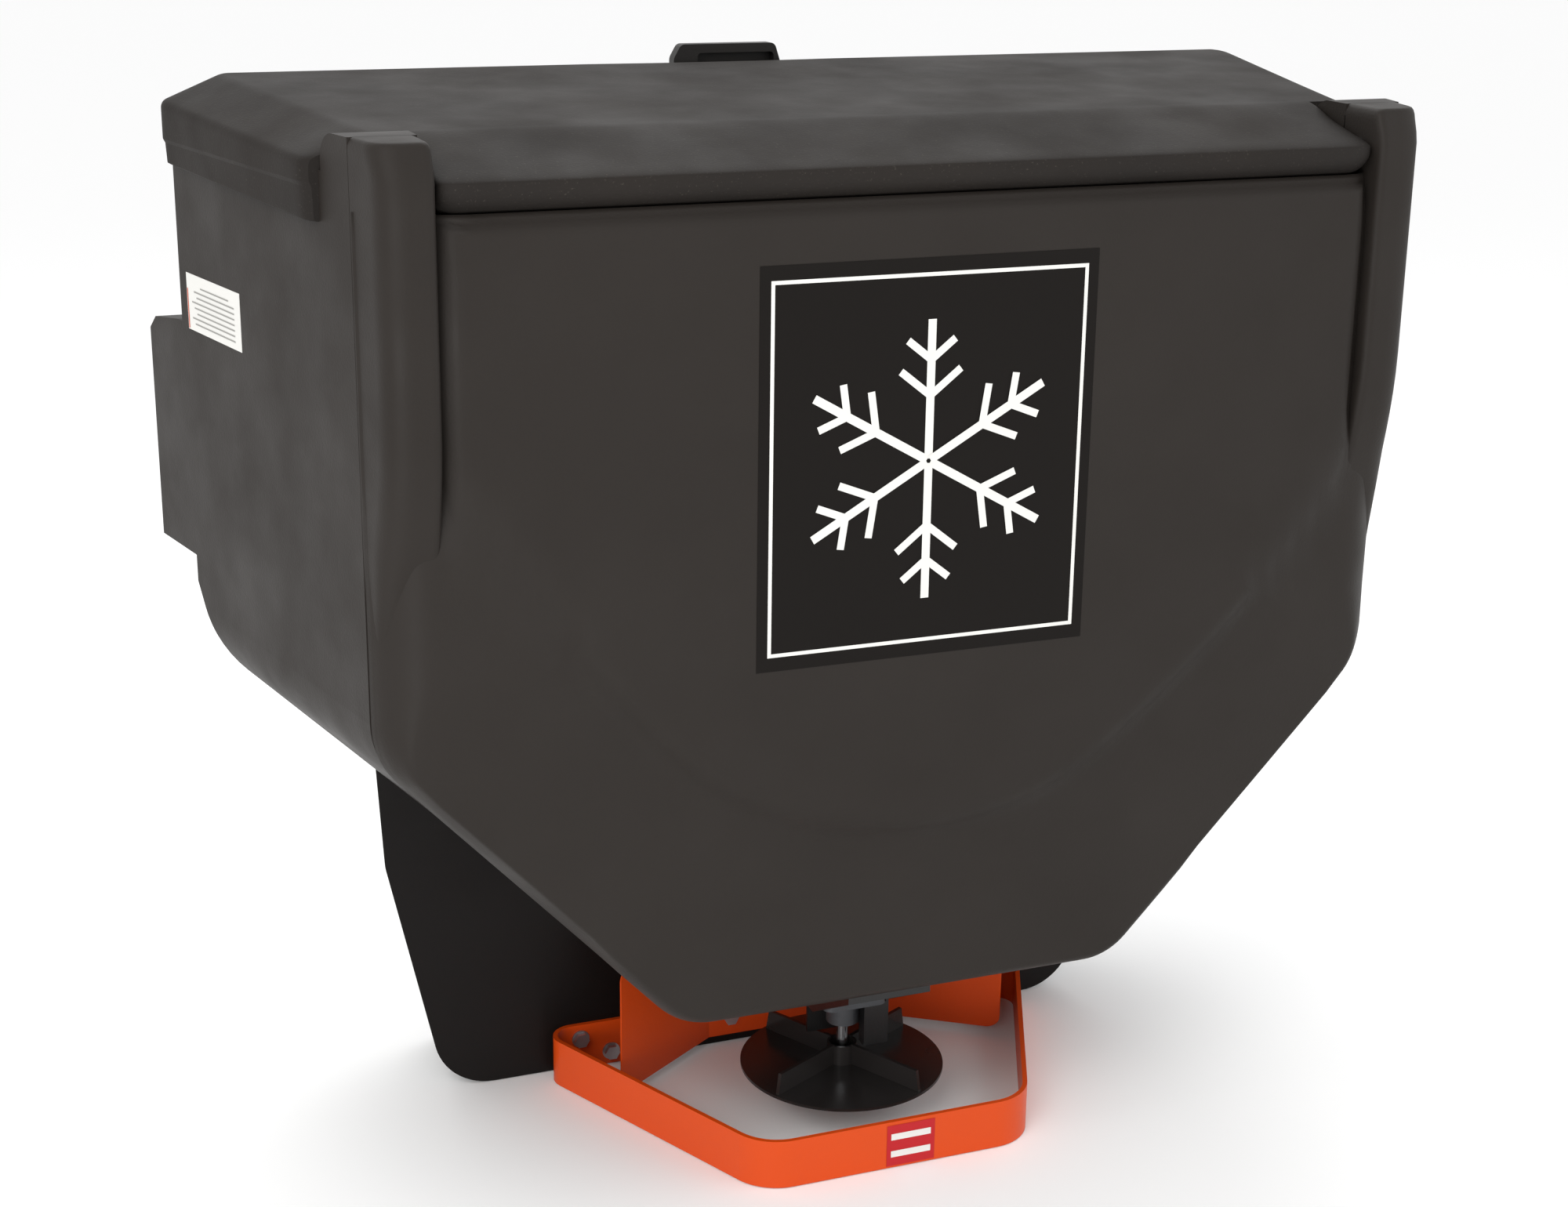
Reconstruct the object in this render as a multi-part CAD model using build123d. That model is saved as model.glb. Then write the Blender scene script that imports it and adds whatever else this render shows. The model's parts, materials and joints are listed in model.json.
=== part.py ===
from build123d import *
import os
from math import atan2, cos, degrees, hypot, pi, radians, sin, sqrt, tan

# Tailgate salt spreader. Millimetres, +Z up, +X to the right when facing the spreader from behind the
# truck, +Y towards the truck. Everything is built from the flat front panel (Y = 0) and moved at the end
# so that the origin is under the middle of the machine, on the ground plane.

# ---- driving dimensions: hopper ----
FRONT_HALF = 506.6          # half width at the corner seam
SEAM_Y = 57.0               # seam between front shell and hopper body
FLARE = 0.216               # the side walls open towards the truck, mm per mm
REAR_Y = 472.0              # outside of the rear wall
REAR_SLOPE = [(215.0, 204.0), (480.0, 575.0)]   # rear slope in side view
WALL = 7.0                  # moulded wall
RIM_DROP = 36.0             # rim of the hopper below the lid's top surface
SLOPE_Z = 490.0             # where the vertical side turns into the 45 degree slope
FLOOR_Z = 204.0             # underside of the hopper
SLOPE_ROUND = 80.0         # rounding of that turn
FOOT_ROUND = 60.0           # rounding from slope to underside
REAR_CORNER = 12.0          # vertical rear corners
BOX_Y = 560.0               # rear box stands out to here
BOX_Z0, BOX_Z1 = 574.0, 812.0
BOX_ROUND = 8.0
BOX_TOP = [(535.0, 804.0), (551.0, 791.0)]      # its top slopes down and rounds over

# ---- front shell ----
BEVEL = 24.0                # how far the lower front falls back
FIELD_HALF = 452.0          # flat field, half width
FIELD_TOP, FIELD_SIDE_Z, FIELD_FOOT_Z = 968.0, 765.0, 388.0
COLUMN_IN = 448.0           # inner face of the corner columns
COLUMN_FRONT = -6.0
COLUMN_TOP = 1032.0
COLUMN_ROUND = 48.0
STRIP_REAR = 112.0          # rear face of the column's rear strip
STRIP_ROUND = 25.0

# ---- lid ----
HINGE_Y, HINGE_Z = 34.0, 997.0
BARREL_R = 36.0
BARREL_HALF = 444.0
BARREL_END_ROUND = 18.0
LID_TOP_FRONT = 1032.0      # top surface above the hinge
LID_PITCH = 14.0 / 426.0    # it rises towards the truck
LID_WIDE_Y = 116.0          # where the lid widens behind the columns
LID_REAR_Y = 465.0
LID_OVERHANG = 14.0
LID_HEIGHT = 78.0
LID_CHAMFER_DROP, LID_CHAMFER_IN = 28.0, 69.0
LID_WALL = 5.0
LID_REAR_CORNER = 34.0
NOTCH_X, NOTCH_HALF, NOTCH_DEPTH = -22.0, 77.0, 5.0
ROD_R = 6.35
RUNNING = 0.08              # radial clearance of a running fit
GASKET_H = 7.0
CLEAR = 0.4                 # between parts that move against each other

# ---- drive housing behind the spinner ----
HOUSING_Y0, HOUSING_Y1 = 335.0, 460.0
HOUSING_FOOT, HOUSING_KNEE_Z, HOUSING_KNEE, HOUSING_TOP = 364.0, 262.0, 421.0, 432.0
HOUSING_X = -20.0           # it sits a little to the left of the spinner
HOUSING_TAPER = 26.0
HOUSING_ROUND = 64.0
HOUSING_WALL = 6.0

# ---- spinner, shaft and drive ----
SHAFT_Y = 175.0
SHAFT_R = 6.0
DISC_R, DISC_Z, DISC_T = 106.0, 43.0, 3.0
FIN_H, FIN_T, FIN_OUT, FIN_TURN = 22.0, 4.0, 103.0, 28.0
HUB_R, HUB_WALL, HUB_H = 15.5, 2.6, 21.0
GEARBOX_X, GEARBOX_Y, GEARBOX_Z0, GEARBOX_Z1 = 68.0, 76.0, 122.0, 196.0
MOTOR_R, MOTOR_Z, MOTOR_END = 31.0, 160.0, 366.0
BOSS_R, BOSS_Z = 17.0, 92.0
AGITATOR_TOP = 352.0

# ---- outlet, chute and gate ----
OUTLET_HALF, OUTLET_Y0, OUTLET_Y1 = 34.0, 66.0, 124.0
CHUTE_HALF, CHUTE_Y0, CHUTE_Y1, CHUTE_T = 44.0, 58.0, 222.0, 3.0
CHUTE_LIP_Z, CHUTE_FOOT_Z = 172.0, 120.0
GUIDE_Z, GUIDE_HALF, GUIDE_Y0, GUIDE_Y1 = 71.0, 41.0, 150.0, 201.0
GATE_T, GATE_Z = 2.5, 196.5
GATE_X0, GATE_X1, GATE_Y0, GATE_Y1 = -96.0, 38.0, 63.0, 128.0

# ---- guard and deflector ----
BAND_H, BAND_T = 50.8, 4.8
GUARD_Y, GUARD_FRONT, GUARD_REAR = 28.4, 144.0, 286.5
GUARD_FLANGE = 190.0        # the flanges turn in to here
GUARD_FRONT_ROUND, GUARD_REAR_ROUND = 52.0, 24.0
DEFLECTOR_T, DEFLECTOR_Z0, DEFLECTOR_Z1 = 2.5, 9.0, 150.0
DEFLECTOR_BEND, DEFLECTOR_TIP, DEFLECTOR_TIP_Y = 91.0, 219.0, 246.0
GUARD_BOLTS = [(238.0, 35.0), (204.0, 15.0)]
DEFLECTOR_BOLTS = [(66.0, 30.0), (66.0, 118.0)]
BOLT_R, HEAD_AF, HEAD_H = 4.76, 14.3, 6.0

# ---- latch and rear mounting plate ----
LATCH_X, LATCH_HALF, LATCH_T, LATCH_TOP = -20.0, 60.0, 15.0, 1064.0
LATCH_Y0 = 480.0
LATCH_POCKET = 11.0          # depth of its finger pocket
PIN_R = 4.0
PIN_Z = 940.0
PLATE_X, PLATE_Z, PLATE_MID_Z, PLATE_T = 600.0, 120.0, 693.0, 6.0
MOUNT_X, MOUNT_Z, MOUNT_R = 500.0, 80.0, 6.75

# the machine's own origin: middle of its depth
DEPTH_CENTRE = (COLUMN_FRONT + BOX_Y + PLATE_T) / 2


def box(x0, x1, y0, y1, z0, z1):
    """Box between two corners."""
    return Pos((x0 + x1) / 2, (y0 + y1) / 2, (z0 + z1) / 2) * Box(x1 - x0, y1 - y0, z1 - z0)


def rod_x(radius, x0, x1, y, z):
    """Cylinder along X."""
    return Pos((x0 + x1) / 2, y, z) * Rot(0, 90, 0) * Cylinder(radius, x1 - x0)


def rod_y(radius, y0, y1, x, z):
    """Cylinder along Y."""
    return Pos(x, (y0 + y1) / 2, z) * Rot(90, 0, 0) * Cylinder(radius, y1 - y0)


def rod_z(radius, z0, z1, x, y):
    """Cylinder along Z."""
    return Pos(x, y, (z0 + z1) / 2) * Cylinder(radius, z1 - z0)


def face_at_y(points, y, radii=None):
    """Closed outline of (x, z) points in the plane Y = y, its corners rounded by radii."""
    corners = [(x, y, z) for x, z in points]
    if radii is None:
        return make_face(Polyline(*corners, close=True))
    return make_face(FilletPolyline(*corners, radius=radii, close=True))


def slab_x(points, x0, x1):
    """Side-view outline of (y, z) points, extruded from x0 to x1."""
    face = make_face(Polyline(*[(x0, y, z) for y, z in points], close=True))
    return extrude(face, amount=x1 - x0, dir=(1, 0, 0))


def slab_z(points, z0, z1):
    """Plan outline of (x, y) points, extruded from z0 to z1."""
    face = make_face(Polyline(*[(x, y, z0) for x, y in points], close=True))
    return extrude(face, amount=z1 - z0, dir=(0, 0, 1))


def half_width(y):
    """Outside of the side wall at depth y."""
    return FRONT_HALF + FLARE * (y - SEAM_Y)


def lid_top(y):
    """Height of the lid's top surface at depth y."""
    return LID_TOP_FRONT + LID_PITCH * (y - HINGE_Y)


def mirrored(part):
    """A part and its mirror image about the centre plane."""
    return part + mirror(part, about=Plane.YZ)


def section(y, inset, top):
    """Hopper cross-section at depth y: rounded sides, 45 degree slopes and a flat underside."""
    w = half_width(y) - inset
    slope = SLOPE_Z - FLOOR_Z
    foot = half_width(y) - slope - inset * tan(radians(22.5))
    knee = SLOPE_Z + inset * tan(radians(22.5))
    floor = FLOOR_Z + inset
    points = [(-w, top), (-w, knee), (-foot, floor), (foot, floor), (w, knee), (w, top)]
    return points, [0.5, SLOPE_ROUND - inset, FOOT_ROUND, FOOT_ROUND, SLOPE_ROUND - inset, 0.5]


def trough(y0, y1, inset, top):
    """Solid between two hopper cross-sections."""
    ends = [face_at_y(section(y, inset, top)[0], y, section(y, inset, top)[1]) for y in (y0, y1)]
    return loft(ends, ruled=True)


def rear_wedge(inset):
    """Everything behind and below the rear slope, moved into the hopper by inset."""
    (y0, z0), (y1, z1) = REAR_SLOPE
    run = hypot(y1 - y0, z1 - z0)
    dy, dz = (y1 - y0) / run, (z1 - z0) / run
    low = (y0 - dz * inset - dy * 90, z0 + dy * inset - dz * 90)
    high = (y1 - dz * inset + dy * 90, z1 + dy * inset + dz * 90)
    return slab_x([low, high, (high[0], low[1])], -700, 700)


def rear_box(y0, inset):
    """Box that stands out behind the hopper, with cut corners and a top that rounds over."""
    y1, turn = BOX_Y - inset, BOX_ROUND
    w0, w1, w2 = half_width(y0) - inset, half_width(y1 - turn) - inset, half_width(y1) - inset - turn
    plan = [(-w0, y0), (w0, y0), (w1, y1 - turn), (w2, y1), (-w2, y1), (-w1, y1 - turn)]
    low, high = BOX_Z0 + inset, BOX_Z1 - inset
    side = [(y0, low), (y1 + 1, low), (y1 + 1, BOX_TOP[1][1] - inset - 14)]
    side += [(y - inset, z - inset) for y, z in reversed(BOX_TOP)] + [(REAR_Y, high), (y0, high)]
    return slab_z(plan, low - 1, high + 1) & slab_x(side, -700, 700)


def hopper_outside():
    """Outer volume of the moulded hopper, behind the seam."""
    body = trough(SEAM_Y, REAR_Y - REAR_CORNER, 0, COLUMN_TOP)
    ends = [section(REAR_Y - REAR_CORNER, 0, COLUMN_TOP), section(REAR_Y, REAR_CORNER * 0.6, COLUMN_TOP)]
    body += loft([face_at_y(ends[0][0], REAR_Y - REAR_CORNER, ends[0][1]),
                  face_at_y(ends[1][0], REAR_Y, ends[1][1])], ruled=True)
    return body - rear_wedge(0) + rear_box(REAR_Y - 40, 0)


def hopper_inside():
    """Room for the salt, from just inside the front shell to the rear wall."""
    room = trough(SEAM_Y - 1, REAR_Y - WALL, WALL, COLUMN_TOP + 1)
    corner = [(half_width(REAR_Y) - 46, REAR_Y), (half_width(REAR_Y), REAR_Y), (half_width(REAR_Y), REAR_Y - 46)]
    room -= mirrored(slab_z(corner, FLOOR_Z, COLUMN_TOP + 2))
    return room - rear_wedge(WALL) + rear_box(REAR_Y - 60, WALL)


def strips():
    """Rear halves of the corner columns, with their rounded rear top corner."""
    plan = [(COLUMN_IN, SEAM_Y), (half_width(SEAM_Y), SEAM_Y), (half_width(STRIP_REAR), STRIP_REAR),
            (COLUMN_IN, STRIP_REAR)]
    side = [(SEAM_Y - 1, 700), (STRIP_REAR, 780), (STRIP_REAR, COLUMN_TOP), (SEAM_Y - 1, COLUMN_TOP)]
    profile = slab_x(side, COLUMN_IN - 1, half_width(STRIP_REAR) + 1)
    edges = [e for e in profile.edges().filter_by(Axis.X) if e.center().Y > STRIP_REAR - 1]
    profile = fillet(max(edges, key=lambda e: e.center().Z), STRIP_ROUND)
    return mirrored(slab_z(plan, 690, COLUMN_TOP) & profile)


def above_rim(extra):
    """Everything above the hopper's sloping rim, raised by extra."""
    front, rear = [lid_top(y) - RIM_DROP + extra for y in (SEAM_Y - 90, BOX_Y + 90)]
    outline = [(SEAM_Y - 90, front), (BOX_Y + 90, rear), (BOX_Y + 90, rear + 400), (SEAM_Y - 90, rear + 400)]
    return slab_x(outline, -700, 700)


def hopper_shell():
    """Moulded hopper body, open to the front shell, with the outlet and shaft hole in its floor."""
    shell = hopper_outside() - hopper_inside() - above_rim(0) + strips()
    floor = (FLOOR_Z - 1, FLOOR_Z + WALL + 1)
    shell -= box(-OUTLET_HALF, OUTLET_HALF, OUTLET_Y0, OUTLET_Y1, *floor)
    shell -= rod_z(14.0, *floor, 0, SHAFT_Y)
    for x, y in gearbox_bolt_places() + chute_bolt_places():
        shell -= rod_z(3.3, *floor, x, y)
    for x, z in mount_places():
        shell -= rod_y(8.0, BOX_Y - WALL - 1, BOX_Y + 1, x, z)
    for x, z in plate_bolt_places():
        shell -= rod_y(4.0, BOX_Y - WALL - 1, BOX_Y + 1, x, z)
    for x, z in bracket_screw_places():
        shell -= rod_y(2.6, REAR_Y - WALL - 1, REAR_Y + 1, x, z)
    return shell


def field_point(t):
    """Outline of the flat field at parameter t, from upper left (0) round the foot to upper right (1)."""
    angle = pi * t
    return -FIELD_HALF * cos(angle), FIELD_SIDE_Z - (FIELD_SIDE_Z - FIELD_FOOT_Z) * sin(angle)


def front_outline(t):
    """Point of the hopper's lower outline in the same direction as field_point(t)."""
    x, z = field_point(t)
    angle = atan2(FIELD_SIDE_Z - z, -x)
    w = half_width(BEVEL)
    reach = []
    c, s = -cos(angle), sin(angle)
    if abs(c) > 1e-6:
        reach.append(w / abs(c))
    if s > 1e-6:
        reach.append((FIELD_SIDE_Z - FLOOR_Z) / s)
    if abs(c) + s > 1e-6:
        reach.append((w + FIELD_SIDE_Z - SLOPE_Z) / (abs(c) + s))
    r = min(reach)
    return c * r, FIELD_SIDE_Z - s * r


def front_shell():
    """Front moulding: flat field, lower front falling back, and the front halves of the columns."""
    steps = 18
    inner = [field_point(i / steps) for i in range(steps + 1)]
    outer = [front_outline(i / steps) for i in range(steps + 1)]
    top = [(FIELD_HALF, FIELD_TOP), (-FIELD_HALF, FIELD_TOP)]
    wide_top = [(half_width(BEVEL), FIELD_TOP), (-half_width(BEVEL), FIELD_TOP)]
    bulge = loft([face_at_y(outer + wide_top, BEVEL), face_at_y(inner + top, 0)], ruled=True)
    base = trough(BEVEL, SEAM_Y, 0, FIELD_TOP)
    shell = base + (bulge & trough(-1, BEVEL + 1, 0, FIELD_TOP + 1))
    room = trough(BEVEL + WALL, SEAM_Y + 1, WALL, FIELD_TOP + 1)
    inner_room = [(x * 0.955, (z - FIELD_SIDE_Z) * 0.94 + FIELD_SIDE_Z) for x, z in inner]
    room_top = [(FIELD_HALF * 0.955, FIELD_TOP + 1), (-FIELD_HALF * 0.955, FIELD_TOP + 1)]
    room += extrude(face_at_y(inner_room + room_top, BEVEL + WALL + 1), amount=BEVEL + 1, dir=(0, -1, 0))
    shell -= room + rod_x(BARREL_R + 2, -COLUMN_IN, COLUMN_IN, HINGE_Y, HINGE_Z)
    shell += mirrored(column())
    trunnion = rod_x(ROD_R + 0.02, -COLUMN_IN - 34, COLUMN_IN + 34, HINGE_Y, HINGE_Z)
    return shell - trunnion


def column():
    """Front half of the right-hand corner column."""
    outer = FRONT_HALF
    bar = box(COLUMN_IN, outer, COLUMN_FRONT, SEAM_Y, 540, COLUMN_TOP)
    fronts = bar.edges().filter_by(Axis.Z).filter_by_position(Axis.Y, COLUMN_FRONT - 1, COLUMN_FRONT + 1)
    bar = fillet([fronts.sort_by(Axis.X)[-1]], COLUMN_ROUND)
    fronts = bar.edges().filter_by(Axis.Z).sort_by(Axis.X)[:2]
    bar = fillet([fronts.sort_by(Axis.Y)[0]], 9.0)
    foot = slab_x([(COLUMN_FRONT - 1, 539), (BEVEL, 539), (COLUMN_FRONT - 1, 640)], COLUMN_IN - 1, outer + 1)
    return bar - foot


def housing_outline(taper, inset):
    """Front view of the drive housing as (x, z) points."""
    foot, knee, top = [v - taper - inset for v in (HOUSING_FOOT, HOUSING_KNEE, HOUSING_TOP)]
    return [(-top, 470), (-knee, HOUSING_KNEE_Z), (-foot, inset), (foot, inset), (knee, HOUSING_KNEE_Z),
            (top, 470)]


def housing_block(y0, y1, inset):
    """Tapered solid of the drive housing."""
    radii = [0.5, 60, HOUSING_ROUND - inset, HOUSING_ROUND - inset, 60, 0.5]
    rate = HOUSING_TAPER / (HOUSING_Y1 - HOUSING_Y0)
    ends = [face_at_y(housing_outline(rate * (y - HOUSING_Y0), inset), y, radii) for y in (y0, y1)]
    return Pos(HOUSING_X, 0, 0) * loft(ends, ruled=True)


def drive_housing():
    """Hollow moulded housing under the rear of the hopper; the hopper's slopes close its top."""
    body = housing_block(HOUSING_Y0, HOUSING_Y1, 0)
    body -= housing_block(HOUSING_Y0 + HOUSING_WALL, HOUSING_Y1 - HOUSING_WALL, HOUSING_WALL)
    body -= trough(HOUSING_Y0 - 20, HOUSING_Y1 + 20, 0, 600) - rear_wedge(0)
    body -= rod_y(MOTOR_R + 4, HOUSING_Y0 - 1, HOUSING_Y0 + HOUSING_WALL + 1, 0, MOTOR_Z)
    for x, z in guard_bolt_places() + deflector_bolt_places():
        body -= rod_y(BOLT_R + 0.3, HOUSING_Y0 - 1, HOUSING_Y0 + HOUSING_WALL + 1, x, z)
    body -= box(-130, 130, HOUSING_Y1 - HOUSING_WALL - 1, HOUSING_Y1 + 1, 60, 190)
    for x, z in cover_screw_places():
        body -= rod_y(2.2, HOUSING_Y1 - HOUSING_WALL - 1, HOUSING_Y1 + 1, x, z)
    body -= rod_y(10.0, HOUSING_Y1 - HOUSING_WALL - 1, HOUSING_Y1 + 1, 200, 110)
    return body


def cover_screw_places():
    return [(x, z) for x in (-142, 0, 142) for z in (48, 202)]


def plate_bolt_places():
    return [(x, z) for x in (-285, 285) for z in (PLATE_MID_Z - 45, PLATE_MID_Z + 45)]


def mount_places():
    return [(x, z) for x in (-MOUNT_X / 2, MOUNT_X / 2) for z in (PLATE_MID_Z - MOUNT_Z / 2, PLATE_MID_Z + MOUNT_Z / 2)]


def guard_bolt_places():
    return [(side * x, z) for side in (-1, 1) for x, z in GUARD_BOLTS]


def deflector_bolt_places():
    return [(side * x, z) for side in (-1, 1) for x, z in DEFLECTOR_BOLTS]


def gearbox_bolt_places():
    return [(x, SHAFT_Y + y) for x in (-25, 25) for y in (-29, 29)]


def chute_bolt_places():
    return [(x, y) for x in (-55, 55) for y in (141, 204)]


def housing_cover():
    """Service cover over the window in the housing's rear wall."""
    plate = box(-152, 152, HOUSING_Y1, HOUSING_Y1 + 4, 38, 212)
    plate = fillet(plate.edges().filter_by(Axis.Y), 12)
    for x, z in cover_screw_places():
        plate -= rod_y(2.6, HOUSING_Y1 - 1, HOUSING_Y1 + 5, x, z)
    return plate


def hex_bolt(x, y, z, length, grip_r=BOLT_R, af=HEAD_AF, head=HEAD_H):
    """Hexagon bolt along Y, its head at y pointing to -Y, shank towards +Y."""
    hexagon = Pos(x, y - head, z) * Rot(-90, 0, 0) * RegularPolygon(af / sqrt(3), 6)
    body = extrude(hexagon, amount=head, dir=(0, 1, 0))
    return body + rod_y(grip_r, y, y + length, x, z)


def washer(x, y, z, outer, hole, thick):
    """Flat washer on a Y axis, from y to y + thick."""
    return rod_y(outer, y, y + thick, x, z) - rod_y(hole, y - 1, y + thick + 1, x, z)


def hex_nut(x, y, z, hole=BOLT_R, af=HEAD_AF, thick=7.0):
    """Hexagon nut along Y, from y to y + thick."""
    hexagon = Pos(x, y, z) * Rot(-90, 0, 0) * RegularPolygon(af / sqrt(3), 6)
    return extrude(hexagon, amount=thick, dir=(0, 1, 0)) - rod_y(hole, y - 1, y + thick + 1, x, z)


def guard_path(inset):
    """Rounded plan path of the guard band, its outside moved in by inset."""
    side = atan2(GUARD_REAR - GUARD_FRONT, HOUSING_Y0 - GUARD_Y)
    front = GUARD_FRONT - inset * tan((pi / 2 - side) / 2)
    rear = GUARD_REAR - inset / tan((pi / 2 - side) / 2)
    y0, y1 = GUARD_Y + inset, HOUSING_Y0 - inset
    points = [(-GUARD_FLANGE, y1), (-rear, y1), (-front, y0), (front, y0), (rear, y1), (GUARD_FLANGE, y1)]
    radii = [GUARD_REAR_ROUND - inset, GUARD_FRONT_ROUND - inset] * 2
    radii = [radii[0], radii[1], radii[1], radii[0]]
    return points, radii


def guard_band():
    """Flat bar bent round the spinner, with its ends turned in as flanges against the housing."""
    middle, radii = guard_path(BAND_T / 2)
    path = FilletPolyline(*[(x, y, 0) for x, y in middle], radius=radii)
    strip = make_face(offset(path, amount=BAND_T / 2, side=Side.BOTH))
    band = extrude(strip, amount=BAND_H, dir=(0, 0, 1))
    for x, z in guard_bolt_places():
        band -= rod_y(BOLT_R + 0.3, HOUSING_Y0 - BAND_T - 1, HOUSING_Y0 + 1, x, z)
    return band


def deflector():
    """Sheet bent into a back strip and two wings that flare forward."""
    y = HOUSING_Y0 - DEFLECTOR_T / 2
    path = Polyline((-DEFLECTOR_TIP, DEFLECTOR_TIP_Y, 0), (-DEFLECTOR_BEND, y, 0),
                    (DEFLECTOR_BEND, y, 0), (DEFLECTOR_TIP, DEFLECTOR_TIP_Y, 0))
    strip = make_face(offset(path, amount=DEFLECTOR_T / 2, side=Side.BOTH))
    sheet = Pos(0, 0, DEFLECTOR_Z0) * extrude(strip, amount=DEFLECTOR_Z1 - DEFLECTOR_Z0, dir=(0, 0, 1))
    outline = RectangleRounded(2 * DEFLECTOR_TIP + 1, DEFLECTOR_Z1 - DEFLECTOR_Z0, 14)
    mask = Pos(0, 0, (DEFLECTOR_Z0 + DEFLECTOR_Z1) / 2) * Rot(90, 0, 0) * outline
    sheet &= extrude(mask, amount=600, dir=(0, 1, 0))
    sheet -= rod_y(MOTOR_R + 4, 200, 400, 0, MOTOR_Z)
    for x, z in deflector_bolt_places():
        sheet -= rod_y(BOLT_R + 0.3, 300, HOUSING_Y0 + 1, x, z)
    return sheet


def solids(parts):
    """Separate solids kept as one sub-part."""
    return Compound(children=[s for p in parts for s in p.solids()])


def spinner_disc():
    """Flat disc with a cup hub and four radial fins, each with a sloping outer end."""
    disc = rod_z(DISC_R, DISC_Z, DISC_Z + DISC_T, 0, SHAFT_Y)
    top = DISC_Z + DISC_T
    disc += rod_z(HUB_R, top, top + HUB_H, 0, SHAFT_Y)
    disc -= rod_z(HUB_R - HUB_WALL, top + 11, top + HUB_H + 1, 0, SHAFT_Y)
    outline = [(HUB_R - 1.5, top - 0.5), (FIN_OUT, top - 0.5), (FIN_OUT - 4, top + FIN_H),
               (HUB_R - 1.5, top + FIN_H)]
    fin = extrude(face_at_y(outline, -FIN_T / 2), amount=FIN_T, dir=(0, 1, 0))
    for turn in range(4):
        disc += Pos(0, SHAFT_Y, 0) * Rot(0, 0, FIN_TURN + 90 * turn) * fin
    disc -= rod_z(SHAFT_R + 0.05, DISC_Z - 1, top + HUB_H + 5, 0, SHAFT_Y)
    return disc - cross_pin(0.1)


def cross_pin(grow):
    """Retaining pin through hub and shaft, above the disc."""
    pin = Pos(0, SHAFT_Y, DISC_Z + DISC_T + 6.5) * Rot(0, 0, FIN_TURN - 45) * Rot(0, 90, 0)
    return pin * Cylinder(2.0 + grow, 2 * HUB_R + 9)


def spinner_shaft():
    """Vertical shaft from the spinner, through the gearbox, up to the agitator."""
    shaft = rod_z(SHAFT_R, DISC_Z - 6, AGITATOR_TOP + 6, 0, SHAFT_Y)
    return shaft - cross_pin(0.05)


def agitator():
    """Tube on the shaft with stirring fingers, shorter where the rear slope comes close."""
    tube = rod_z(11, FLOOR_Z + WALL + 12, AGITATOR_TOP, 0, SHAFT_Y)
    for i, reach in enumerate((44, 62, 84, 88)):
        arm = Pos(0, SHAFT_Y, 238 + 30 * i) * Rot(0, 0, 95 * i + 20) * Rot(0, 78, 0)
        tube += arm * Pos(0, 0, reach / 2) * Cylinder(4, reach)
    return tube - rod_z(SHAFT_R, FLOOR_Z, AGITATOR_TOP + 1, 0, SHAFT_Y)


def gearbox_housing():
    """Gearbox case with its lower bearing boss and motor flange."""
    y0, y1 = SHAFT_Y - GEARBOX_Y / 2, SHAFT_Y + GEARBOX_Y / 2
    case = box(-GEARBOX_X / 2, GEARBOX_X / 2, y0, y1, GEARBOX_Z0, GEARBOX_Z1)
    case = fillet(case.edges().filter_by(Axis.Z), 9)
    room = box(-GEARBOX_X / 2 + 7, GEARBOX_X / 2 - 7, y0 + 7, y1 - 7, GEARBOX_Z0 + 8, GEARBOX_Z1 + 1)
    case = case - room + rod_z(BOSS_R, BOSS_Z, GEARBOX_Z0 + 8, 0, SHAFT_Y)
    case -= rod_z(11.1, BOSS_Z - 1, GEARBOX_Z0 + 2, 0, SHAFT_Y)
    case -= rod_z(SHAFT_R + 0.6, BOSS_Z - 1, GEARBOX_Z0 + 9, 0, SHAFT_Y)
    case -= rod_y(12, y1 - 8, y1 + 1, 0, MOTOR_Z)
    for x, y in gearbox_bolt_places():
        case -= rod_z(3.3, GEARBOX_Z1 - 20, GEARBOX_Z1 + 1, x, y)
    return case


def gearbox_cover():
    """Top plate of the gearbox, under the hopper floor."""
    y0, y1 = SHAFT_Y - GEARBOX_Y / 2, SHAFT_Y + GEARBOX_Y / 2
    plate = box(-GEARBOX_X / 2, GEARBOX_X / 2, y0, y1, GEARBOX_Z1, FLOOR_Z)
    plate = fillet(plate.edges().filter_by(Axis.Z), 9)
    plate -= rod_z(SHAFT_R + 0.6, GEARBOX_Z1 - 1, FLOOR_Z + 1, 0, SHAFT_Y)
    for x, y in gearbox_bolt_places():
        plate -= rod_z(3.3, GEARBOX_Z1 - 1, FLOOR_Z + 1, x, y)
    return plate


def ring(outer, inner, z0, z1):
    """Ring round the spinner shaft."""
    return rod_z(outer, z0, z1, 0, SHAFT_Y) - rod_z(inner, z0 - 1, z1 + 1, 0, SHAFT_Y)


def motor_can():
    """Steel motor barrel, closed at the gearbox end by its flange."""
    y0 = SHAFT_Y + GEARBOX_Y / 2
    can = rod_y(MOTOR_R, y0, MOTOR_END - 8, 0, MOTOR_Z)
    can -= rod_y(MOTOR_R - 2, y0 + 5, MOTOR_END, 0, MOTOR_Z)
    return can - rod_y(6, y0 - 1, y0 + 6, 0, MOTOR_Z)


def motor_end_cap():
    """Moulded cap with the two supply terminals."""
    cap = rod_y(MOTOR_R, MOTOR_END - 8, MOTOR_END, 0, MOTOR_Z)
    for x in (-12, 12):
        cap += box(x - 3, x + 3, MOTOR_END - 1, MOTOR_END + 9, MOTOR_Z - 0.4, MOTOR_Z + 0.4)
    return cap


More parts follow.
